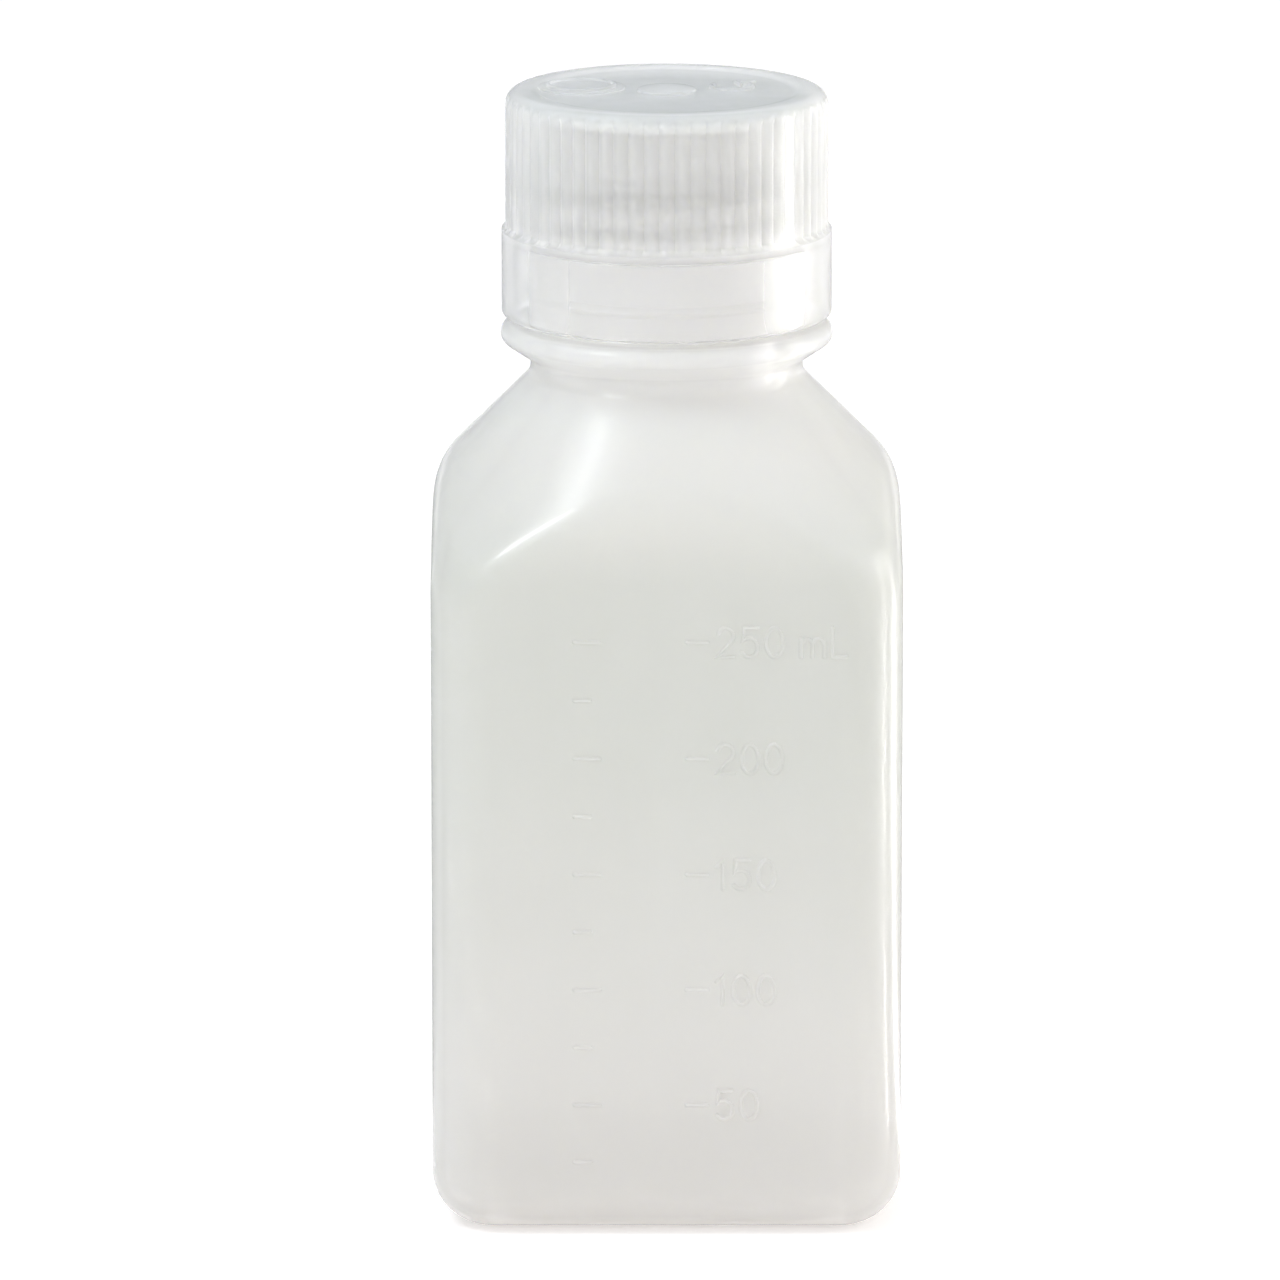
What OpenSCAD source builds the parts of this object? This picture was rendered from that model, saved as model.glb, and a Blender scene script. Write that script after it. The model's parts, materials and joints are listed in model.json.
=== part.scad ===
// Square laboratory reagent bottle with a screw cap and a sealing liner.
// Millimetres. The origin is the centre of the base on the standing surface, +Z is up,
// and the volume scale is on the -Y face.

/* [Body] */
// Outside width and depth of the square body
body_w = 60.5; // [58:0.5:64]
// Radius of the four upright corners, seen from above
corner_r = 8.5; // [7.5:0.5:10]
// Radius of the edge round the base
base_r = 7; // [4:0.5:7]
// Wall thickness of the body, shoulder and floor
wall_t = 1.4; // [1:0.1:1.8]
// Height at which the shoulder cone meets the middle of each flat side
shoulder_z = 95.4; // [80:0.2:96]
// Radius that blends each side into the shoulder
shoulder_r = 12; // [8:0.5:12]
// Width of the square recess under the base
recess_w = 42; // [30:1:44]
// Depth of the recess under the base
recess_h = 1.2; // [0.6:0.1:2]

/* [Neck] */
// Height of the sealing lip above the standing surface
lip_z = 142; // [141:0.5:150]
// Radius of the neck at the root of its thread
neck_r = 17.6; // [17.5:0.05:17.65]
// Radius of the bore through the neck
bore_r = 15.75; // [14.5:0.25:16]
// Distance from the lip down to the middle of the support bead
bead_drop = 28.9; // [28.5:0.1:31]
// Outside radius of the support bead
bead_r = 21.45; // [21:0.05:22]
// Radius of the bead's rounded nose
bead_nose_r = 1.4; // [1:0.1:1.6]

/* [Thread] */
// Advance of the screw in one turn, six threads to the inch
pitch = 4.2333; // [4:0.0001:4.4]
// Outside radius of the thread on the neck
thread_r = 18.65; // [18.4:0.05:18.7]
// Turns of thread on the neck
neck_turns = 1.5; // [1:0.25:1.75]
// Turns of thread in the cap
cap_turns = 1.6; // [1:0.1:2]
// Slack between the cap's wall or thread and the neck's
thread_slack = 0.25; // [0.15:0.05:0.3]

/* [Cap] */
// Radius over the grip ribs
grip_r = 20.83; // [20.7:0.01:21]
// Radius between the grip ribs
grip_root_r = 20.45; // [20.3:0.05:20.55]
// Number of grip ribs
rib_count = 64; // [48:4:80]
// Outside radius of the smooth skirt
skirt_r = 21.3; // [21.2:0.05:21.6]
// Height of the smooth skirt below the ribs
skirt_h = 11.3; // [9:0.1:12]
// Height of the whole cap
cap_h = 29.4; // [29:0.1:29.6]
// Radius round the top edge of the cap
rim_r = 1.8; // [1:0.1:2]
// Radius of the shallow recess in the cap's top
panel_r = 16.6; // [15:0.1:17.5]
// Depth of the recess in the cap's top
panel_h = 0.3; // [0.1:0.05:0.5]
// Radius of the raised pad in the middle of the top
pad_r = 3.8; // [3:0.1:5]

/* [Liner] */
// Radius of the sealing liner
liner_r = 18.5; // [17.8:0.1:18.7]
// Thickness of the sealing liner
liner_t = 1.2; // [0.8:0.1:1.4]

/* [Scale] */
// Height of the scale's relief above the wall
relief_h = 0.25; // [0.15:0.05:0.4]
// Height of the numerals
digit_h = 3.8; // [3:0.1:4.2]

/* [Hidden] */

$fn = 96;
eps = 0.01;

// Body, derived
half_w = body_w / 2;
// The upright corners stand this far outside the flats, so that their arcs cut the flats cleanly
corner_over = 0.02;
// The shoulder arcs stand this far outside the cone, for the same reason
cone_over = 0.4;
shoulder_arc_z = shoulder_z + cone_over - shoulder_r * (sqrt(2) - 1);
cone_reach = 0.75 * body_w;

// Neck and cap, derived
bead_z = lip_z - bead_drop;
cap_wall_r = thread_r + thread_slack;
seal_gap = 0.02;
cap_ceiling_z = lip_z + liner_t + 2 * seal_gap;
cap_top_z = bead_z + cap_h + 2.3;
cap_foot_z = cap_top_z - cap_h;
ribs_z = cap_foot_z + skirt_h;
skirt_bore_r = skirt_r - 1.5;
skirt_bevel = 0.45;
foot_round = 0.9;
panel_z = cap_top_z - panel_h;

// Marks on the cap's top: a flat disc, and an open ring with a head that shows which way to turn
disc_r = 5.7;
disc_at = [-11, 2.6];
arrow_at = [8.4, 3];
arrow_r = 2.7;
arrow_line = 0.75;
arrow_from = 150;
arrow_turn = 270;

// Thread form, derived: half widths at the root and at the crest
root_half = 1.15;
crest_half = 0.45;
thread_steps = 36;
thread_embed = 0.35;
neck_thread_z = lip_z - 3.9 - neck_turns * pitch;
// The cap's thread lies this far under the neck's thread when the cap is closed
thread_under = 1.65;
cap_thread_lead = 200;

// Inner section of the body, which sets the height of each mark on the scale
inner_w = body_w - 2 * wall_t;
inner_corner_r = corner_r - wall_t;
inner_base_r = base_r - wall_t;
inner_area = inner_w * inner_w - (4 - PI) * inner_corner_r * inner_corner_r;
floor_loss = (1 - PI / 4) * inner_base_r * inner_base_r * 3.8 * inner_w + recess_h * recess_w * recess_w;

// Height of the liquid surface for a volume in millilitres
function level_z(ml) = wall_t + (1000 * ml + floor_loss) / inner_area;

// Strokes of the numerals: top, upper left, upper right, middle, lower left, lower right, bottom
STROKES = [
    [1, 1, 1, 0, 1, 1, 1],
    [0, 0, 1, 0, 0, 1, 0],
    [1, 0, 1, 1, 1, 0, 1],
    [1, 0, 1, 1, 0, 1, 1],
    [0, 1, 1, 1, 0, 1, 0],
    [1, 1, 0, 1, 0, 1, 1]
];
digit_w = 0.55 * digit_h;
digit_step = 0.8 * digit_h;
stroke = 0.45;
tick_x = 2.6;
digits_x = 6.2;
minor_x = -11.8;

module rounded_square(w, r) {
    square([w, w - 2 * r], center = true);
    square([w - 2 * r, w], center = true);
    for (x = [-1, 1], y = [-1, 1])
        translate([x * (w / 2 - r), y * (w / 2 - r)])
            circle(r);
}

// Front outline of the body: round base edges, straight sides, arcs that lead into the shoulder
module side_outline(w, z0, edge_r, arc_r) {
    half = w / 2;
    arc_x = half - arc_r;
    slope_x = arc_x + arc_r * sqrt(0.5);
    slope_z = shoulder_arc_z + arc_r * sqrt(0.5);
    translate([-(half - edge_r), z0])
        square([w - 2 * edge_r, edge_r]);
    translate([-half, z0 + edge_r])
        square([w, shoulder_arc_z - z0 - edge_r]);
    polygon([
        [-arc_x, shoulder_arc_z - eps],
        [arc_x, shoulder_arc_z - eps],
        [slope_x, slope_z],
        [arc_x, slope_z + slope_x - arc_x],
        [arc_x, 2 * body_w + lip_z],
        [-arc_x, 2 * body_w + lip_z],
        [-arc_x, slope_z + slope_x - arc_x],
        [-slope_x, slope_z]
    ]);
    for (x = [-1, 1]) {
        translate([x * (half - edge_r), z0 + edge_r])
            circle(edge_r);
        translate([x * (half - arc_r), shoulder_arc_z])
            circle(arc_r);
    }
}

// Solid of the body, shoulder and neck, moved in from the outside by inset
module body_form(inset, neck, top_z) {
    w = body_w - 2 * inset;
    z0 = inset;
    cone_sum = half_w + shoulder_z - inset * sqrt(2);
    intersection() {
        translate([0, 0, z0 - 1])
            linear_extrude(top_z + 2)
                rounded_square(w + 2 * corner_over, corner_r - inset);
        rotate([90, 0, 0])
            linear_extrude(2 * w, center = true)
                side_outline(w, z0, base_r - inset, shoulder_r - inset);
        rotate([90, 0, 90])
            linear_extrude(2 * w, center = true)
                side_outline(w, z0, base_r - inset, shoulder_r - inset);
        rotate_extrude()
            polygon([
                [0, z0 - 1],
                [cone_reach, z0 - 1],
                [cone_reach, cone_sum - cone_reach],
                [neck, cone_sum - neck],
                [neck, top_z],
                [0, top_z]
            ]);
    }
}

// Ring round the neck, with a round nose and a long taper underneath
module support_bead() {
    top = bead_z + bead_nose_r - 0.05;
    nose_r = bead_r - bead_nose_r;
    rotate_extrude() {
        translate([nose_r, bead_z])
            circle(bead_nose_r);
        polygon([
            [bore_r + 0.6, top],
            [nose_r, top],
            [nose_r + 0.9, bead_z - 1.05],
            [neck_r, bead_z - 3],
            [bore_r + 0.6, bead_z - 3]
        ]);
    }
}

// Right-hand helical ridge. Its height runs out over the first and last fade degrees.
module helix(root_r, crest_r, z0, start, turns, root_w, crest_w) {
    n = round(turns * thread_steps);
    fade = 40;
    span = turns * 360;
    rise = crest_r - root_r;
    rings = [
        for (i = [0:n])
            let (
                a = span * i / n,
                run = min(1, (a + 2) / fade, (span - a + 2) / fade),
                r = root_r + rise * max(0.1, run),
                z = z0 + pitch * a / 360,
                c = [cos(start + a), sin(start + a)],
                half_crest = root_w + (crest_w - root_w) * max(0.1, run)
            )
            each [
                [root_r * c[0], root_r * c[1], z - root_w],
                [r * c[0], r * c[1], z - half_crest],
                [r * c[0], r * c[1], z + half_crest],
                [root_r * c[0], root_r * c[1], z + root_w]
            ]
    ];
    side = rise > 0 ? 1 : -1;
    skin = [
        for (i = [0:n - 1], k = [0:3])
            let (
                a = 4 * i + k,
                b = 4 * i + (k + 1) % 4,
                c = b + 4,
                d = a + 4
            )
            each (side > 0 ? [[a, b, c], [a, c, d]] : [[c, b, a], [d, c, a]])
    ];
    ends = side > 0
        ? [[3, 2, 1, 0], [4 * n, 4 * n + 1, 4 * n + 2, 4 * n + 3]]
        : [[0, 1, 2, 3], [4 * n + 3, 4 * n + 2, 4 * n + 1, 4 * n]];
    polyhedron(points = rings, faces = concat(skin, ends), convexity = 6);
}

module digit(n) {
    s = STROKES[n];
    bar = digit_w;
    leg = digit_h / 2 + stroke / 2;
    places = [
        [0, digit_h - stroke, bar, stroke],
        [0, digit_h - leg, stroke, leg],
        [bar - stroke, digit_h - leg, stroke, leg],
        [0, (digit_h - stroke) / 2, bar, stroke],
        [0, 0, stroke, leg],
        [bar - stroke, 0, stroke, leg],
        [0, 0, bar, stroke]
    ];
    for (k = [0:6])
        if (s[k] == 1)
            translate([places[k][0], places[k][1]])
                square([places[k][2], places[k][3]]);
}

// Marks and numerals, drawn in the plane of the front wall
module scale_drawing() {
    for (ml = [50:50:250]) {
        digits = ml < 100 ? [floor(ml / 10), ml % 10] : [floor(ml / 100), floor(ml / 10) % 10, ml % 10];
        translate([tick_x, level_z(ml) - stroke / 2])
            square([2.6, stroke]);
        for (k = [0:len(digits) - 1])
            translate([digits_x + k * digit_step, level_z(ml) - digit_h / 2])
                digit(digits[k]);
    }
    for (ml = [25:25:250])
        translate([minor_x, level_z(ml) - stroke / 2])
            square([ml % 50 == 0 ? 3.2 : 2, stroke]);
}

module bottle() {
    color([0.90, 0.91, 0.90, 0.55])
    difference() {
        union() {
            body_form(0, neck_r, lip_z);
            support_bead();
            helix(neck_r - thread_embed, thread_r, neck_thread_z, 0, neck_turns, root_half, crest_half);
            translate([0, -half_w + 0.5, 0])
                rotate([90, 0, 0])
                    linear_extrude(0.5 + relief_h)
                        scale_drawing();
        }
        difference() {
            body_form(wall_t, bore_r, lip_z + 1);
            linear_extrude(wall_t + recess_h)
                rounded_square(recess_w + 2 * wall_t, corner_r);
        }
        translate([0, 0, -1])
            linear_extrude(1 + recess_h)
                rounded_square(recess_w, corner_r - wall_t);
    }
}

// Section through the cap's outside, from the axis out
module cap_outline() {
    rim = grip_r - rim_r;
    translate([rim, cap_top_z - rim_r])
        circle(rim_r);
    translate([skirt_r - foot_round, cap_foot_z + foot_round])
        circle(foot_round);
    polygon([
        [0, cap_foot_z],
        [skirt_r - foot_round, cap_foot_z],
        [skirt_r, cap_foot_z + foot_round],
        [skirt_r, ribs_z],
        [grip_r, ribs_z + skirt_bevel],
        [grip_r, cap_top_z - rim_r],
        [rim, cap_top_z],
        [0, cap_top_z]
    ]);
}

// Plan of the grip: flat-topped ribs with sloping flanks
module grip_plan() {
    step = 360 / rib_count;
    polygon([
        for (i = [0:rib_count - 1], k = [-0.32, -0.14, 0.14, 0.32])
            let (
                a = (i + k) * step,
                r = abs(k) < 0.2 ? grip_r + eps : grip_root_r
            )
            r * [cos(a), sin(a)]
    ]);
}

// Marks that stand in the recess, level with the rim
module cap_marks() {
    circle(pad_r);
    translate(disc_at)
        circle(disc_r);
    translate(arrow_at) {
        difference() {
            circle(arrow_r + arrow_line / 2);
            circle(arrow_r - arrow_line / 2);
            rotate(arrow_from + arrow_turn)
                square(2 * arrow_r);
        }
        rotate(arrow_from + arrow_turn)
            translate([arrow_r, 0])
                polygon([[-1.4, 0], [1.4, 0], [0, 1.8]]);
    }
}

module screw_cap() {
    color([0.92, 0.93, 0.93, 0.6])
    union() {
        difference() {
            intersection() {
                rotate_extrude()
                    cap_outline();
                union() {
                    translate([0, 0, ribs_z])
                        linear_extrude(cap_h)
                            grip_plan();
                    translate([0, 0, cap_foot_z - 1])
                        cylinder(r = skirt_r + 1, h = skirt_h + 1 + skirt_bevel);
                }
            }
            translate([0, 0, cap_foot_z - 1])
                cylinder(r = cap_wall_r, h = cap_ceiling_z - cap_foot_z + 1);
            translate([0, 0, cap_foot_z - 1])
                cylinder(r = skirt_bore_r, h = skirt_h - 1);
            translate([0, 0, panel_z])
                cylinder(r = panel_r, h = panel_h + 1);
        }
        translate([0, 0, panel_z - 0.5])
            linear_extrude(0.5 + panel_h)
                cap_marks();
        helix(
            cap_wall_r + thread_embed,
            neck_r + thread_slack,
            neck_thread_z - thread_under - pitch * cap_thread_lead / 360,
            -cap_thread_lead,
            cap_turns,
            root_half - 0.15,
            crest_half
        );
    }
}

module cap_liner() {
    color([0.97, 0.97, 0.96])
    translate([0, 0, lip_z + seal_gap])
        cylinder(r = liner_r, h = liner_t);
}

bottle();
screw_cap();
cap_liner();
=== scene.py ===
import json
import math

import bpy
import numpy as np
from mathutils import Matrix, Vector


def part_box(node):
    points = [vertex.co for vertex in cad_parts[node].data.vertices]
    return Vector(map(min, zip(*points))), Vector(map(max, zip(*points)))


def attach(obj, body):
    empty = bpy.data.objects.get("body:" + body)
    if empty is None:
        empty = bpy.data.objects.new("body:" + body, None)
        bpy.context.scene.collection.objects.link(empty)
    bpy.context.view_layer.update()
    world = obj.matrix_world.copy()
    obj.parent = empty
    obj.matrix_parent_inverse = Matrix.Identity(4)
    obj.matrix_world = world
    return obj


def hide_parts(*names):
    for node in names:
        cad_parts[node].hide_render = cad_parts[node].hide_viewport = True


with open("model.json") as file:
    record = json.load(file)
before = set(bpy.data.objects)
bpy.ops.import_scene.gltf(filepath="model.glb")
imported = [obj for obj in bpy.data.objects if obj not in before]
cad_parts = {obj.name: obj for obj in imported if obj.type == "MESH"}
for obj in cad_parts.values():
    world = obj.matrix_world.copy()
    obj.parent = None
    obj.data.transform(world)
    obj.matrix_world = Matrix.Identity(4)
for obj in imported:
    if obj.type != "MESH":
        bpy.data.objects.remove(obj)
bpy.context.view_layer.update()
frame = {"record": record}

MM = 0.001

# ---------------------------------------------------------------- sizes, from the frame
bottle_lo, bottle_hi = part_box("bottle")
cap_lo, cap_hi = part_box("screw_cap")
liner_lo, liner_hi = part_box("cap_liner")
mounts = {m["name"]: m for m in frame["record"]["mounts"]}
coupling = frame["record"]["behaviour"]["couplings"][0]

HALF = (bottle_hi.x - bottle_lo.x) / 2
LIP_Z = bottle_hi.z
BORE_R = mounts["mouth"]["dims"]["r_mm"] * MM
CAP_TOP = cap_hi.z
CAP_FOOT = cap_lo.z
SKIRT_R = (cap_hi.x - cap_lo.x) / 2
LINER_R = (liner_hi.x - liner_lo.x) / 2
PITCH = coupling["ratio"] * 2 * math.pi

# ---------------------------------------------------------------- sizes of the mouldings
WALL = 1.4 * MM
CORNER_R = 8.5 * MM
BASE_R = 7.0 * MM
RECESS_HALF = 21.0 * MM
RECESS_H = 1.2 * MM
SHOULDER_Z = 95.4 * MM
SHOULDER_R = 11.5 * MM
NECK_R = 17.6 * MM
BEAD_DROP = 28.9 * MM
BEAD_R = 21.45 * MM
BEAD_NOSE_R = 1.4 * MM
THREAD_R = 18.65 * MM
NECK_TURNS = 1.5
CAP_TURNS = 1.6
THREAD_SLACK = 0.25 * MM
GRIP_R = 20.83 * MM
RIB_COUNT = 64
RIB_DEPTH = 0.55 * MM
SKIRT_H = 11.3 * MM
RIM_R = 1.9 * MM

BEAD_Z = LIP_Z - BEAD_DROP
RIBS_Z = CAP_FOOT + SKIRT_H
CONE_SUM = HALF + SHOULDER_Z
CAP_WALL_R = THREAD_R + THREAD_SLACK
CEILING_Z = liner_hi.z + 0.02 * MM
NECK_THREAD_Z = LIP_Z - 3.9 * MM - NECK_TURNS * PITCH


# ---------------------------------------------------------------- mesh tools
def arc(centre_r, centre_z, radius, start, end, n):
    """Points (r, z) along an arc in the section plane, angles in degrees from +r."""
    a = np.radians(np.linspace(start, end, n))
    return [(centre_r + radius * math.cos(t), centre_z + radius * math.sin(t)) for t in a]


def line(p, q, n):
    """n points from p to q, without the first."""
    return [(p[0] + (q[0] - p[0]) * k / n, p[1] + (q[1] - p[1]) * k / n) for k in range(1, n + 1)]


def square_radius(theta, half, corner):
    """Distance from the axis to a rounded square, at each angle."""
    a = np.abs((theta + math.pi / 4) % (math.pi / 2) - math.pi / 4)
    flat = half / np.cos(a)
    c = half - corner
    along = c * (np.cos(a) + np.sin(a))
    inside = np.maximum(corner * corner - (2 * c * c - along * along), 0)
    return np.where(half * np.tan(a) <= c, flat, along + np.sqrt(inside))


def solid(name, verts, faces):
    """A new mesh object in the scene, from points and faces."""
    mesh = bpy.data.meshes.new(name)
    mesh.from_pydata(verts, [], faces)
    piece = bpy.data.objects.new(name, mesh)
    bpy.context.scene.collection.objects.link(piece)
    return piece


def shell(name, theta, rings):
    """A closed surface lofted through rings of (r, z) arrays, with a pole at each end."""
    n = len(theta)
    cos, sin = np.cos(theta), np.sin(theta)
    verts = [(0.0, 0.0, float(np.mean(rings[0][1])))]
    for r, z in rings:
        r = np.broadcast_to(r, n)
        z = np.broadcast_to(z, n)
        verts.extend(zip(r * cos, r * sin, z))
    verts.append((0.0, 0.0, float(np.mean(rings[-1][1]))))
    faces = [(0, 1 + (j + 1) % n, 1 + j) for j in range(n)]
    for i in range(len(rings) - 1):
        a, b = 1 + i * n, 1 + (i + 1) * n
        for j in range(n):
            k = (j + 1) % n
            faces.append((a + j, a + k, b + k, b + j))
    last = 1 + (len(rings) - 1) * n
    faces.extend((len(verts) - 1, last + j, last + (j + 1) % n) for j in range(n))
    return solid(name, [tuple(map(float, v)) for v in verts], faces)


def helix(name, root_r, crest_r, z0, start, turns, root_half, crest_half):
    """A closed right-hand helical ridge with a rounded crest, running out at both ends."""
    steps = round(turns * 96)
    span, fade = turns * 360, 40
    rise = crest_r - root_r
    # How far out each point of the profile is, and how far up, as a share of the half width there
    section = [(0, -1), (0.45, -1), (0.85, -0.85), (1, -0.45), (1, 0.45), (0.85, 0.85), (0.45, 1), (0, 1)]
    m = len(section)
    verts, faces = [], []
    for i in range(steps + 1):
        a = span * i / steps
        run = max(0.06, min(1.0, (a + 1) / fade, (span - a + 1) / fade))
        run = run * run * (3 - 2 * run)
        t = math.radians(start + a)
        for out, up in section:
            height = up * (root_half + (crest_half - root_half) * out)
            r = root_r + rise * out * run
            verts.append((r * math.cos(t), r * math.sin(t), z0 + PITCH * a / 360 + height))
    for i in range(steps):
        for k in range(m):
            a, b = i * m + k, i * m + (k + 1) % m
            faces.append((a, a + m, b + m, b))
    faces.append(tuple(range(m)))
    faces.append(tuple(range(steps * m, steps * m + m))[::-1])
    if rise > 0:
        faces = [face[::-1] for face in faces]
    return solid(name, verts, faces)


def rod(points, place, radius, closed=False):
    """Points and faces of a round rod along (u, v) points, with round ends.
    place(u, v, out) gives the point in space, and out is the distance from the rod's own plane."""
    path = [Vector(p) for p in points]
    n = len(path)
    rings = []
    for i, p in enumerate(path):
        before = path[i - 1] if closed or i > 0 else None
        after = path[(i + 1) % n] if closed or i < n - 1 else None
        into = (p - before).normalized() if before else (after - p).normalized()
        out = (after - p).normalized() if after else into
        along = (into + out).normalized()
        side = Vector((along.y, -along.x))
        rings.append((p, side, radius, min(1.6, 1 / max(0.3, along.dot(into)))))
    if not closed:
        ends = [(0.9, 0.45), (0.6, 0.8), (0.15, 0.98)]
        first, last = path[0], path[-1]
        back, ahead = (first - path[1]).normalized(), (last - path[-2]).normalized()
        head = [(first + back * radius * far, rings[0][1], radius * painted_light_bands, 1) for painted_light_bands, far in ends[::-1]]
        tail = [(last + ahead * radius * far, rings[-1][1], radius * painted_light_bands, 1) for painted_light_bands, far in ends]
        rings = head + rings + tail
    m = 10
    verts, faces = [], []
    for p, side, r, mitre in rings:
        for k in range(m):
            a = 2 * math.pi * k / m
            at = p + side * (r * mitre * math.cos(a))
            verts.append(place(at.x, at.y, r * math.sin(a)))
    count = len(rings)
    for i in range(count if closed else count - 1):
        a, b = i * m, (i + 1) % count * m
        faces.extend((a + k, b + k, b + (k + 1) % m, a + (k + 1) % m) for k in range(m))
    if not closed:
        faces.append(tuple(range(m)))
        faces.append(tuple(range((count - 1) * m, count * m))[::-1])
    return verts, faces


def gather(name, solids):
    """One mesh object from several (points, faces) pairs."""
    verts, faces = [], []
    for more_verts, more_faces in solids:
        base = len(verts)
        verts.extend(more_verts)
        faces.extend(tuple(base + i for i in face) for face in more_faces)
    return solid(name, verts, faces)


def fuse(piece, others):
    """Joins other closed meshes to piece, and removes them."""
    for other in others:
        modifier = piece.modifiers.new("fuse", "BOOLEAN")
        modifier.operation = "UNION"
        modifier.solver = "MANIFOLD"
        modifier.object = other
        bpy.context.view_layer.update()
        mesh = bpy.data.meshes.new_from_object(piece.evaluated_get(bpy.context.evaluated_depsgraph_get()))
        piece.modifiers.clear()
        old = piece.data
        piece.data = mesh
        bpy.data.meshes.remove(old)
        bpy.data.objects.remove(other)
    return piece


# ---------------------------------------------------------------- bottle
def body_side(theta, inset):
    """Rings up the wall, round the shoulder and along the cone, moved in from the outside by inset."""
    wall_r = square_radius(theta, HALF - inset, CORNER_R - inset)
    blend_r = SHOULDER_R - inset
    cone_sum = CONE_SUM - inset * math.sqrt(2)
    tangent = blend_r * math.tan(math.radians(22.5))
    arc_z = cone_sum - wall_r - tangent
    start_z = BASE_R
    rings = []
    for k in range(1, 31):
        rings.append((wall_r, start_z + (arc_z - start_z) * k / 30))
    for k in range(1, 15):
        a = math.radians(45 * k / 14)
        rings.append((wall_r - blend_r * (1 - math.cos(a)), arc_z + blend_r * math.sin(a)))
    return rings, cone_sum


def cone_rings(rings, cone_sum, end_r, n):
    """Rings along the cone, from where each meridian leaves its shoulder arc to one radius."""
    from_r = rings[-1][0]
    return [(from_r + (end_r - from_r) * k / n, cone_sum - (from_r + (end_r - from_r) * k / n))
            for k in range(1, n + 1)]


def bottle_rings(theta):
    n_edge = 10
    rings = []
    # Underside: recess floor, its soft edge, then the flat ring the bottle stands on
    for half, z in ((4, 1.2), (10, 1.2), (16, 1.2), (19.6, 1.2), (20.3, 1.12), (20.8, 0.9),
                    (21.1, 0.55), (21.4, 0.25), (21.8, 0.07), (22.4, 0.0), (23.0, 0.0)):
        corner = 7.0 * MM * min(1, half / 21)
        rings.append((square_radius(theta, half * MM, corner), z * MM))
    for k in range(n_edge + 1):
        a = math.radians(90 * k / n_edge)
        inset = BASE_R * (1 - math.sin(a))
        rings.append((square_radius(theta, HALF - inset, CORNER_R - inset), BASE_R * (1 - math.cos(a))))
    side, cone_sum = body_side(theta, 0)
    rings += side
    # Cone up to a small hollow round at the foot of the neck
    foot = 2.2 * MM
    tangent = foot * math.tan(math.radians(22.5))
    foot_r = NECK_R + tangent * math.sqrt(0.5)
    rings += cone_rings(side, cone_sum, foot_r, 14)
    foot_z = cone_sum - NECK_R + tangent
    section = arc(NECK_R + foot, foot_z, foot, 225, 180, 8)[1:]
    # Support bead: long taper underneath, round nose, flat top
    bead_low = BEAD_Z - 3.1 * MM
    section += line(section[-1], (NECK_R, bead_low - 0.5 * MM), 2)
    nose_r = BEAD_R - BEAD_NOSE_R
    taper_from = (NECK_R + 0.35 * MM, bead_low)
    taper_angle = -62
    nose_low = (nose_r + BEAD_NOSE_R * math.cos(math.radians(taper_angle)),
                BEAD_Z + BEAD_NOSE_R * math.sin(math.radians(taper_angle)))
    section += [taper_from]
    section += line(taper_from, nose_low, 5)
    section += arc(nose_r, BEAD_Z, BEAD_NOSE_R, taper_angle, 90, 16)[1:]
    section += line(section[-1], (NECK_R + 0.5 * MM, BEAD_Z + BEAD_NOSE_R), 3)
    section += arc(NECK_R + 0.5 * MM, BEAD_Z + BEAD_NOSE_R + 0.5 * MM, 0.5 * MM, 270, 180, 5)[1:]
    # Low ring half way up the skirt, then the plain neck to the lip
    ring_z = LIP_Z - 23.3 * MM
    section += line(section[-1], (NECK_R, ring_z - 0.7 * MM), 3)
    section += [(NECK_R + 0.6 * MM, ring_z - 0.4 * MM), (NECK_R + 0.85 * MM, ring_z),
                (NECK_R + 0.6 * MM, ring_z + 0.4 * MM), (NECK_R, ring_z + 0.7 * MM)]
    lip_round = 0.5 * MM
    section += line(section[-1], (NECK_R, LIP_Z - lip_round), 12)
    section += arc(NECK_R - lip_round, LIP_Z - lip_round, lip_round, 0, 90, 6)[1:]
    section += arc(BORE_R + lip_round, LIP_Z - lip_round, lip_round, 90, 180, 6)
    rings += section
    # Inside, from the bore down to the floor
    inner, inner_sum = body_side(theta, WALL)
    hollow = 1.2 * MM
    tangent = hollow * math.tan(math.radians(22.5))
    bore_foot_z = inner_sum - BORE_R + tangent
    rings += line((BORE_R, LIP_Z - lip_round), (BORE_R, bore_foot_z), 16)
    rings += arc(BORE_R + hollow, bore_foot_z, hollow, 180, 225, 5)[1:]
    start_r = BORE_R + tangent * math.sqrt(0.5)
    end_r = inner[-1][0]
    rings += [(start_r + (end_r - start_r) * k / 14, inner_sum - (start_r + (end_r - start_r) * k / 14))
              for k in range(1, 14)]
    rings += inner[::-1]
    inner_base = BASE_R - WALL
    for k in range(n_edge, -1, -1):
        a = math.radians(90 * k / n_edge)
        inset = WALL + inner_base * (1 - math.sin(a))
        rings.append((square_radius(theta, HALF - inset, CORNER_R - inset),
                      WALL + inner_base * (1 - math.cos(a))))
    for half, rise in ((22.8, 0.0), (22.3, 0.06), (21.9, 0.3), (21.4, 0.75), (21.0, 1.05), (20.2, 1.2),
                       (16, 1.2), (10, 1.2), (4, 1.2)):
        corner = 7.4 * MM * min(1, half / 22)
        rings.append((square_radius(theta, half * MM, corner), WALL + rise * MM))
    return rings


def bend(cx, cy, rx, ry, start, end, n=9):
    """Points along an elliptical arc, angles in degrees."""
    a = np.radians(np.linspace(start, end, n))
    return [(cx + rx * math.cos(t), cy + ry * math.sin(t)) for t in a]


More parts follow.
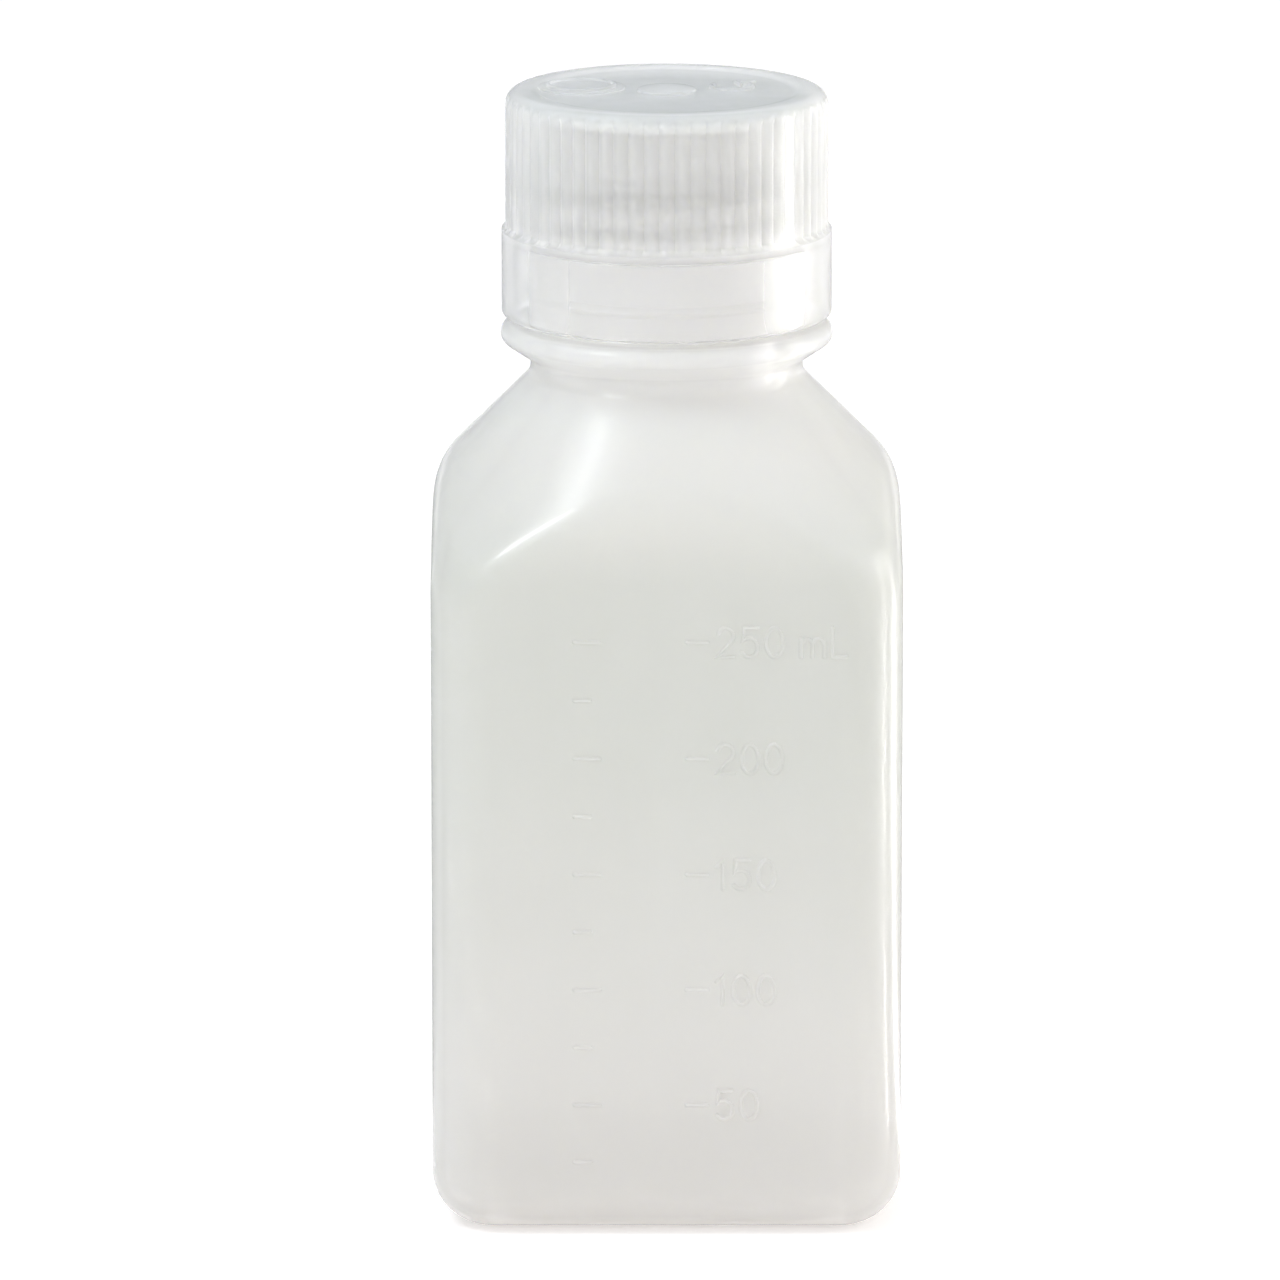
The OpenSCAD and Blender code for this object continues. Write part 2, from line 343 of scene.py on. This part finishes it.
# The scale's characters, one unit high: (width, [(points of a stroke, whether it is closed)])
GLYPHS = {
    " ": (0.1, []),
    "0": (0.56, [(bend(0.28, 0.5, 0.28, 0.5, 90, 426, 22), True)]),
    "1": (0.30, [([(0.0, 0.78), (0.2, 1.0), (0.2, 0.0)], False)]),
    "2": (0.56, [(bend(0.28, 0.72, 0.27, 0.28, 165, -35) + [(0.0, 0.0), (0.56, 0.0)], False)]),
    "5": (0.56, [([(0.52, 1.0), (0.08, 1.0), (0.03, 0.56)]
                  + bend(0.25, 0.33, 0.29, 0.33, 110, -145), False)]),
    "m": (0.78, [([(0.0, 0.62), (0.0, 0.0)], False),
                 ([(0.0, 0.40)] + bend(0.19, 0.42, 0.19, 0.2, 170, 0, 7) + [(0.38, 0.0)], False),
                 ([(0.38, 0.40)] + bend(0.57, 0.42, 0.19, 0.2, 170, 0, 7) + [(0.76, 0.0)], False)]),
    "L": (0.50, [([(0.0, 1.0), (0.0, 0.0), (0.48, 0.0)], False)]),
}
DIGIT_H = 3.8 * MM
DIGIT_GAP = 0.26
STROKE_R = 0.30 * MM
STROKE_PROUD = 0.25 * MM
TICK_X = 2.6 * MM
TICK_W = 2.6 * MM
DIGITS_X = 6.4 * MM
LEFT_X = -11.8 * MM
NUMBERED_W = 3.2 * MM
PLAIN_W = 2.0 * MM


def level_z(ml):
    """Height of the liquid for a volume in millilitres, from the section inside the walls."""
    inner_w = 2 * (HALF - WALL)
    corner = CORNER_R - WALL
    base = BASE_R - WALL
    area = inner_w ** 2 - (4 - math.pi) * corner ** 2
    lost = (1 - math.pi / 4) * base ** 2 * 3.8 * inner_w + RECESS_H * (2 * RECESS_HALF) ** 2
    return WALL + (ml * 1e-6 + lost) / area


def scale_layers():
    """The volume scale on the front wall, as layers of rods. Rods in one layer don't touch each other."""
    layers = [[], [], []]

    def on_wall(x, z, out):
        return x, -HALF + STROKE_R - STROKE_PROUD - out, z

    for ml in range(25, 251, 25):
        z = level_z(ml)
        length = NUMBERED_W if ml % 50 == 0 else PLAIN_W
        layers[0].append(rod([(LEFT_X, z), (LEFT_X + length, z)], on_wall, STROKE_R))
    for ml in range(50, 251, 50):
        z = level_z(ml)
        layers[0].append(rod([(TICK_X, z), (TICK_X + TICK_W, z)], on_wall, STROKE_R))
        x = DIGITS_X
        for character in str(ml) + (" mL" if ml == 250 else ""):
            width, paths = GLYPHS[character]
            for layer, (points, closed) in enumerate(paths):
                placed = [(x + px * DIGIT_H, z + (pz - 0.5) * DIGIT_H) for px, pz in points]
                layers[layer].append(rod(placed, on_wall, STROKE_R, closed))
            x += (width + DIGIT_GAP) * DIGIT_H
    return [gather(f"scale_{i}", layer) for i, layer in enumerate(layers)]


def make_bottle():
    theta = np.linspace(0, 2 * math.pi, 289)[:-1]
    piece = shell("bottle_shell", theta, bottle_rings(theta))
    thread = helix("thread", NECK_R - 0.4 * MM, THREAD_R, NECK_THREAD_Z, 0, NECK_TURNS, 1.15 * MM, 0.45 * MM)
    fuse(piece, [thread])
    fuse(piece, scale_layers())
    return piece


# ---------------------------------------------------------------- cap
def cap_rings(theta):
    # Broad rounded ribs with narrow grooves between them
    rib = (0.5 + 0.5 * np.cos(theta * RIB_COUNT)) ** 0.5
    panel = ((1, 0.3), (6, 0.3), (12, 0.3), (16, 0.3),
             (16.5, 0.27), (16.9, 0.15), (17.3, 0.03), (17.8, 0))
    rings = [(r * MM, CAP_TOP - drop * MM) for r, drop in panel]
    rim_r = GRIP_R - RIM_R
    top = arc(rim_r, CAP_TOP - RIM_R, RIM_R, 90, 0, 12)
    # The ribs grow out of the rounded rim and end on the skirt's bevel
    for k, (r, z) in enumerate(top):
        grow = max(0.0, (k - 6) / 5)
        rings.append((r - RIB_DEPTH * (1 - rib) * grow, z))
    grip_low = RIBS_Z + 0.75 * MM
    for k in range(1, 13):
        rings.append((GRIP_R - RIB_DEPTH * (1 - rib), top[-1][1] + (grip_low - top[-1][1]) * k / 12))
    ledge = SKIRT_R - 0.02 * MM
    for k in range(1, 6):
        t = k / 5
        depth = RIB_DEPTH * (1 - rib) * (1 - t)
        swell = (ledge - GRIP_R) * (1 - math.cos(t * math.pi / 2))
        rings.append((GRIP_R - depth + swell, grip_low - 0.75 * MM * t))
    rings += arc(SKIRT_R - 0.2 * MM, RIBS_Z - 0.15 * MM, 0.2 * MM, 50, 0, 4)
    foot = 0.8 * MM
    rings += line((SKIRT_R, RIBS_Z - 0.15 * MM), (SKIRT_R, CAP_FOOT + foot), 8)
    rings += arc(SKIRT_R - foot, CAP_FOOT + foot, foot, 0, -90, 8)[1:]
    bore = SKIRT_R - 1.5 * MM
    rings += arc(bore + 0.4 * MM, CAP_FOOT + 0.4 * MM, 0.4 * MM, 270, 180, 5)
    step_z = CAP_FOOT + SKIRT_H - 1.0 * MM
    rings += line((bore, CAP_FOOT + 0.4 * MM), (bore, step_z - 0.5 * MM), 6)
    rings += line((bore, step_z - 0.5 * MM), (CAP_WALL_R, step_z + 0.2 * MM), 4)
    hollow = 0.5 * MM
    rings += line((CAP_WALL_R, step_z + 0.2 * MM), (CAP_WALL_R, CEILING_Z - hollow), 10)
    rings += arc(CAP_WALL_R - hollow, CEILING_Z - hollow, hollow, 0, 90, 5)[1:]
    rings += line((CAP_WALL_R - hollow, CEILING_Z), (1 * MM, CEILING_Z), 5)
    return rings


PANEL_Z = CAP_TOP - 0.3 * MM
PAD_R = 3.8 * MM
DISC_R = 5.7 * MM
DISC_AT = (-11.0 * MM, 2.6 * MM)
RING_R = 4.3 * MM
RING_ROD_R = 0.32 * MM
ARROW_AT = (8.4 * MM, 3.0 * MM)
ARROW_R = 2.7 * MM
ARROW_ROD_R = 0.38 * MM


def button(name, centre, radius, height, dome):
    """A low round pad that stands on the cap's panel, with a rounded edge and a crowned top."""
    theta = np.linspace(0, 2 * math.pi, 97)[:-1]
    top = PANEL_Z + height
    edge = min(0.3 * MM, height * 0.6)
    rings = [(radius * k, PANEL_Z - 0.3 * MM) for k in (0.2, 0.7, 1.0)]
    rings += [(radius, PANEL_Z + 0.02 * MM)]
    rings += arc(radius - edge, top - edge, edge, 0, 80, 5)
    inner = radius - edge
    rings += [(inner * k, top + dome * (1 - k * k)) for k in (0.85, 0.65, 0.45, 0.2)]
    pad = shell(name, theta, rings)
    pad.data.transform(Matrix.Translation((*centre, 0)))
    return pad


def cap_marks():
    """Plain generic marks on the panel: a disc with a ring, a centre pad and an arrow for the way to turn."""

    def on_panel(x, y, out):
        return x, y, PANEL_Z + out

    pads = [button("pad", (0, 0), PAD_R, 0.4 * MM, 0.4 * MM),
            button("disc", DISC_AT, DISC_R, 0.2 * MM, 0.25 * MM)]
    ring = [(DISC_AT[0] + RING_R * math.cos(t), DISC_AT[1] + RING_R * math.sin(t))
            for t in np.linspace(0, 2 * math.pi, 49)[:-1]]
    rods = [rod(ring, lambda x, y, out: (x, y, PANEL_Z + 0.3 * MM + out), RING_ROD_R, True)]
    turn = bend(*ARROW_AT, ARROW_R, ARROW_R, 150, 420, 28)
    rods.append(rod(turn, on_panel, ARROW_ROD_R))
    tip = Vector(turn[-1])
    heading = (tip - Vector(turn[-2])).normalized()
    side = Vector((heading.y, -heading.x))
    point = tip + heading * 0.9 * MM
    barbs = [tuple(point - heading * 1.7 * MM + side * w * 1.5 * MM) for w in (-1, 1)]
    head = rod([barbs[0], tuple(point), barbs[1]], on_panel, ARROW_ROD_R)
    return pads + [gather("marks", rods), gather("arrow_head", [head])]


def make_cap():
    theta = np.linspace(0, 2 * math.pi, RIB_COUNT * 10 + 1)[:-1]
    piece = shell("cap_shell", theta, cap_rings(theta)[::-1])
    lead = 200
    thread = helix("thread", CAP_WALL_R + 0.35 * MM, NECK_R + THREAD_SLACK,
                   NECK_THREAD_Z - 1.65 * MM - PITCH * lead / 360, -lead, CAP_TURNS, 1.0 * MM, 0.45 * MM)
    fuse(piece, [thread] + cap_marks())
    return piece


def make_liner():
    theta = np.linspace(0, 2 * math.pi, 145)[:-1]
    low, high = liner_lo.z, liner_hi.z
    edge = 0.2 * MM
    rings = [(r * MM, high) for r in (1, 6, 12)]
    rings += arc(LINER_R - edge, high - edge, edge, 90, 0, 5)
    rings += arc(LINER_R - edge, low + edge, edge, 0, -90, 5)
    rings += [(r * MM, low) for r in (12, 6, 1)]
    return shell("liner_disc", theta, rings[::-1])


# ---------------------------------------------------------------- materials
class Nodes:
    """Short calls for making and linking a material's or world's nodes."""

    def __init__(self, tree):
        self.tree = tree

    def add(self, kind, inputs=None, **settings):
        node = self.tree.nodes.new(kind)
        for name, value in settings.items():
            setattr(node, name, value)
        for socket, value in (inputs or {}).items():
            if isinstance(value, bpy.types.NodeSocket):
                self.tree.links.new(value, node.inputs[socket])
            else:
                node.inputs[socket].default_value = value
        return node

    def noise(self, where, feature, detail=2.0, rough=0.5):
        """Noise with features of about the given size in metres."""
        return self.add("ShaderNodeTexNoise", {"Vector": where, "Scale": 1 / feature, "Detail": detail,
                                               "Roughness": rough}).outputs["Fac"]

    def span(self, value, low, high, from_low=0.3, from_high=0.7):
        """Maps a value to a range. The usual spread of a noise is the default to map from."""
        node = self.add("ShaderNodeMapRange", {"Value": value, "From Min": from_low, "From Max": from_high,
                                               "To Min": low, "To Max": high})
        return node.outputs["Result"]

    def mix(self, factor, a, b):
        node = self.add("ShaderNodeMix", {"Factor": factor}, data_type="RGBA")
        for socket, value in zip(node.inputs[6:8], (a, b)):
            if isinstance(value, bpy.types.NodeSocket):
                self.tree.links.new(value, socket)
            else:
                socket.default_value = value
        return node.outputs[2]


def moulded(name, colours, roughness, clear, alpha, ior, waves, grain, grain_size, painted_light_bands=(), thin=None):
    """A moulded plastic: cloudy colour, uneven gloss, slow waves and a fine grain in the surface.
    alpha is how much the wall hides when seen face on, and when seen along its surface, where it is thicker.
    The painted light bands list (z where it starts, z where it is full, colour) where a whiter colour is
    painted on as light, lifting shade that falls there.
    thin is (z where it starts, z where it is full, alpha face on) where the wall is thinner and clearer."""
    material = bpy.data.materials.new(name)
    material.use_nodes = True
    n = Nodes(material.node_tree)
    shader = n.tree.nodes["Principled BSDF"]
    where = n.add("ShaderNodeTexCoord").outputs["Object"]
    cloud = n.span(n.noise(where, 26 * MM, 3.0), 0, 1)
    streak_where = n.add("ShaderNodeMapping", {"Vector": where, "Scale": (1.0, 1.0, 0.18)}).outputs["Vector"]
    streak = n.span(n.noise(streak_where, 7 * MM, 4.0), 0, 0.55)
    colour = n.mix(streak, n.mix(cloud, colours[0], colours[1]), colours[2])
    height = n.add("ShaderNodeSeparateXYZ", {"Vector": where}).outputs["Z"]
    # Painted light: a whiter colour in bands of height, lifting shade that falls there
    for start, full, painted_light_colour in painted_light_bands:
        colour = n.mix(n.span(height, 0, 1, start, full), colour, painted_light_colour)
    gloss = n.span(n.noise(where, 9 * MM, 4.0, 0.6), roughness[0], roughness[1])
    fine = n.noise(where, grain_size, 3.0, 0.6)
    slow = n.noise(streak_where, 9 * MM, 2.0)
    bump = n.add("ShaderNodeBump", {"Height": slow, "Distance": waves, "Strength": 1.0})
    bump = n.add("ShaderNodeBump", {"Height": fine, "Distance": grain, "Strength": 1.0,
                                    "Normal": bump.outputs["Normal"]})
    links = n.tree.links
    links.new(colour, shader.inputs["Base Color"])
    links.new(gloss, shader.inputs["Roughness"])
    links.new(bump.outputs["Normal"], shader.inputs["Normal"])
    facing = n.add("ShaderNodeLayerWeight", {"Blend": 0.5}).outputs["Facing"]
    face_on = n.span(height, alpha[0], thin[2], thin[0], thin[1]) if thin else alpha[0]
    links.new(n.span(facing, face_on, alpha[1], 0.45, 0.95), shader.inputs["Alpha"])
    shader.inputs["IOR"].default_value = ior
    shader.inputs["Transmission Weight"].default_value = clear
    shader.inputs["Subsurface Weight"].default_value = 1.0
    shader.inputs["Subsurface Scale"].default_value = 2.5 * MM
    shader.inputs["Subsurface Radius"].default_value = (1.0, 1.0, 0.92)
    return material


def foam(name):
    """Closed-cell foam: white, dull, with cells in its surface."""
    material = bpy.data.materials.new(name)
    material.use_nodes = True
    n = Nodes(material.node_tree)
    shader = n.tree.nodes["Principled BSDF"]
    where = n.add("ShaderNodeTexCoord").outputs["Object"]
    cells = n.add("ShaderNodeTexVoronoi", {"Vector": where, "Scale": 1 / (0.35 * MM)}).outputs["Distance"]
    tone = n.span(n.noise(where, 4 * MM), 0, 1)
    colour = n.mix(tone, (0.86, 0.86, 0.84, 1), (0.80, 0.80, 0.78, 1))
    bump = n.add("ShaderNodeBump", {"Height": cells, "Distance": 0.05 * MM})
    links = n.tree.links
    links.new(colour, shader.inputs["Base Color"])
    links.new(n.span(cells, 0.75, 0.9, 0, 1), shader.inputs["Roughness"])
    links.new(bump.outputs["Normal"], shader.inputs["Normal"])
    shader.inputs["IOR"].default_value = 1.4
    return material


POLYETHYLENE = moulded("natural_polyethylene",
                       ((0.755, 0.76, 0.725, 1), (0.775, 0.775, 0.74, 1), (0.74, 0.745, 0.71, 1)),
                       roughness=(0.17, 0.26), clear=0.3, alpha=(0.6, 0.9), ior=1.54,
                       waves=0.12 * MM, grain=0.006 * MM, grain_size=0.35 * MM,
                       # Painted light: whiter towards the base and up the neck, lifting the shade near the
                       # floor and under the cap and bead
                       painted_light_bands=((60 * MM, -5 * MM, (0.87, 0.845, 0.82, 1)),
                              (86 * MM, 108 * MM, (0.985, 0.955, 0.915, 1))))
POLYPROPYLENE = moulded("natural_polypropylene",
                        ((0.92, 0.92, 0.90, 1), (0.93, 0.93, 0.915, 1), (0.91, 0.91, 0.89, 1)),
                        roughness=(0.16, 0.25), clear=0.5, alpha=(0.55, 0.9), ior=1.49,
                        waves=0.03 * MM, grain=0.002 * MM, grain_size=0.3 * MM,
                        thin=(RIBS_Z + 1 * MM, RIBS_Z - 1 * MM, 0.22))
FOAM = foam("liner_foam")


# ---------------------------------------------------------------- the pieces
def finish_piece(piece, name, material, body, node):
    """Names a piece, gives it its material and smooth shading, and puts it in its CAD node's place."""
    piece.name = name
    piece.data.name = name
    piece.data.materials.clear()
    piece.data.materials.append(material)
    piece.data.shade_smooth()
    piece.data.set_sharp_from_angle(angle=math.radians(40))
    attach(piece, body)
    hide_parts(node)


finish_piece(make_bottle(), "bottle_moulding", POLYETHYLENE, "bottle", "bottle")
finish_piece(make_cap(), "cap_moulding", POLYPROPYLENE, "cap", "screw_cap")
finish_piece(make_liner(), "liner_disc", FOAM, "liner", "cap_liner")


# ---------------------------------------------------------------- floor, light and camera
CENTRE = Vector((-3.44 * MM, 0, 72.15 * MM))
RIGHT_TURN = math.radians(21)
TABLE_GLOW = 0.33
CAMERA_ELEVATION = math.radians(12.6)
CAMERA_DISTANCE = 1.5
CAMERA_LENS = 324.6


def hide_from(piece, rays):
    """Makes a stage piece unseen by some kinds of ray."""
    for ray in rays:
        setattr(piece, f"visible_{ray}", False)


def make_floor():
    half = 4.0
    floor = solid("floor", [(-half, -half, 0), (half, -half, 0), (half, half, 0), (-half, half, 0)],
                  [(0, 1, 2, 3)])
    material = bpy.data.materials.new("floor_white")
    material.use_nodes = True
    n = Nodes(material.node_tree)
    shader = n.tree.nodes["Principled BSDF"]
    where = n.add("ShaderNodeTexCoord").outputs["Object"]
    tone = n.mix(n.span(n.noise(where, 0.4), 0, 1), (0.83, 0.80, 0.785, 1), (0.81, 0.78, 0.77, 1))
    n.tree.links.new(tone, shader.inputs["Base Color"])
    shader.inputs["Roughness"].default_value = 0.9
    shader.inputs["Specular IOR Level"].default_value = 0.2
    shader.inputs["Emission Color"].default_value = (1, 1, 1, 1)
    shader.inputs["Emission Strength"].default_value = TABLE_GLOW
    floor.data.materials.append(material)


def make_backdrop():
    """A white wall round the floor, seen by the camera only, so that low views have no dark horizon."""
    count, radius, height = 64, 3.9, 1.6
    turns = [math.tau * i / count for i in range(count)]
    corners = [(radius * math.cos(turn), radius * math.sin(turn), z) for z in (0, height) for turn in turns]
    wall = solid("backdrop", corners,
                 [(i, (i + 1) % count, count + (i + 1) % count, count + i) for i in range(count)])
    material = bpy.data.materials.new("backdrop_white")
    material.use_nodes = True
    shader = material.node_tree.nodes["Principled BSDF"]
    shader.inputs["Base Color"].default_value = (0, 0, 0, 1)
    shader.inputs["Specular IOR Level"].default_value = 0.0
    shader.inputs["Emission Color"].default_value = (1, 1, 1, 1)
    shader.inputs["Emission Strength"].default_value = 1.0
    wall.data.materials.append(material)
    hide_from(wall, ("diffuse", "glossy", "transmission", "shadow"))


def softbox(name, place, back, width, height, radiance, colour):
    """A rectangular light at a place, with its back in a direction. Radiance 1 is about the world's white."""
    light = bpy.data.lights.new(name, "AREA")
    light.shape = "RECTANGLE"
    light.size = width
    light.size_y = height
    light.energy = radiance * math.pi * width * height
    light.color = colour
    lamp = bpy.data.objects.new(name, light)
    lamp.location = place
    lamp.rotation_euler = Vector(back).to_track_quat("Z", "Y").to_euler()
    lamp.visible_camera = False
    bpy.context.scene.collection.objects.link(lamp)
    return lamp


def make_lights():
    cool, warm = (0.92, 0.965, 1.0), (1.0, 0.985, 0.955)
    key_from = Vector((-0.52, -0.34, 0.76)).normalized()
    softbox("left_key", CENTRE + key_from * 0.9, key_from, 0.15, 0.26, 17.0, cool)
    # Nearly overhead, for the soft streak down the left of the shoulder
    top_from = Vector((-0.436, -0.05, 0.898)).normalized()
    softbox("top_left", CENTRE + top_from * 0.9, top_from, 0.15, 0.30, 5.2, cool)
    right_from = Vector((math.cos(RIGHT_TURN), math.sin(RIGHT_TURN), 0))
    softbox("right_strip", right_from * 0.8 + Vector((0, 0, 0.3)), right_from, 0.14, 0.6, 7.0, warm)
    # The same strip carried on along the table, which upright walls reflect
    for i, (near, far) in enumerate(((0.045, 0.10), (0.10, 0.22), (0.22, 0.75))):
        middle = (near + far) / 2
        lamp = softbox(f"table_strip_{i}", right_from * middle + Vector((0, 0, 1 * MM)), (0, 0, -1),
                       far - near, 0.15 * middle, 8.0, warm)
        lamp.rotation_euler = (math.pi, 0, RIGHT_TURN)
    # A weak wash further out on the table to the right, which the cap and neck reflect
    wash_turn = math.radians(13)
    wash_from = Vector((math.cos(wash_turn), math.sin(wash_turn), 0))
    lamp = softbox("table_wash", wash_from * 0.62 + Vector((0, 0, 1 * MM)), (0, 0, -1), 0.34, 0.35, 3.0, warm)
    lamp.rotation_euler = (math.pi, 0, wash_turn)


def make_cards():
    """Grey cards on the table behind the bottle, seen only as reflections: they outline its pale edges."""
    material = bpy.data.materials.new("card_grey")
    material.use_nodes = True
    material.node_tree.nodes["Principled BSDF"].inputs["Base Color"].default_value = (0.3, 0.3, 0.3, 1)
    for name, turns in (("card_left", (94, 148)), ("card_right", (34, 86))):
        corners = [(radius * math.cos(math.radians(turn)), radius * math.sin(math.radians(turn)), 0.5 * MM)
                   for radius, turn in ((0.05, turns[0]), (0.8, turns[0]), (0.8, turns[1]), (0.05, turns[1]))]
        card = solid(name, corners, [(0, 1, 2, 3)])
        card.data.materials.append(material)
        hide_from(card, ("camera", "diffuse", "transmission", "shadow"))


def make_world():
    world = bpy.data.worlds.new("studio")
    bpy.context.scene.world = world
    world.use_nodes = True
    n = Nodes(world.node_tree)
    background = world.node_tree.nodes["Background"]
    where = n.add("ShaderNodeTexCoord").outputs["Generated"]
    way = n.add("ShaderNodeSeparateXYZ", {"Vector": where}).outputs
    level = n.mix(n.span(way["Y"], 0, 1, -0.2, 0.9), (1.05, 1.035, 1.005, 1), (0.30, 0.31, 0.32, 1))
    dome = n.mix(n.span(way["Z"], 0, 1, 0.3, 1.0), level, (0.86, 0.93, 1.0, 1))
    sides = n.mix(n.span(way["X"], 0, 1, -1, 1), (0.70, 0.74, 0.78, 1), (1.2, 1.17, 1.14, 1))
    tone = n.add("ShaderNodeVectorMath", {0: dome, 1: sides}, operation="MULTIPLY").outputs["Vector"]
    n.tree.links.new(tone, background.inputs["Color"])
    background.inputs["Strength"].default_value = 1.0


def make_camera():
    camera = bpy.data.objects.new("camera", bpy.data.cameras.new("camera"))
    camera.data.lens = CAMERA_LENS
    camera.data.sensor_width = 36
    camera.data.clip_start = 0.05
    camera.data.clip_end = 50
    towards = Vector((0, -math.cos(CAMERA_ELEVATION), math.sin(CAMERA_ELEVATION)))
    camera.location = CENTRE + towards * CAMERA_DISTANCE
    camera.rotation_euler = towards.to_track_quat("Z", "Y").to_euler()
    bpy.context.scene.collection.objects.link(camera)
    bpy.context.scene.camera = camera


make_floor()
make_backdrop()
make_cards()
make_world()
make_camera()
make_lights()
bpy.context.scene.view_settings.view_transform = "Standard"
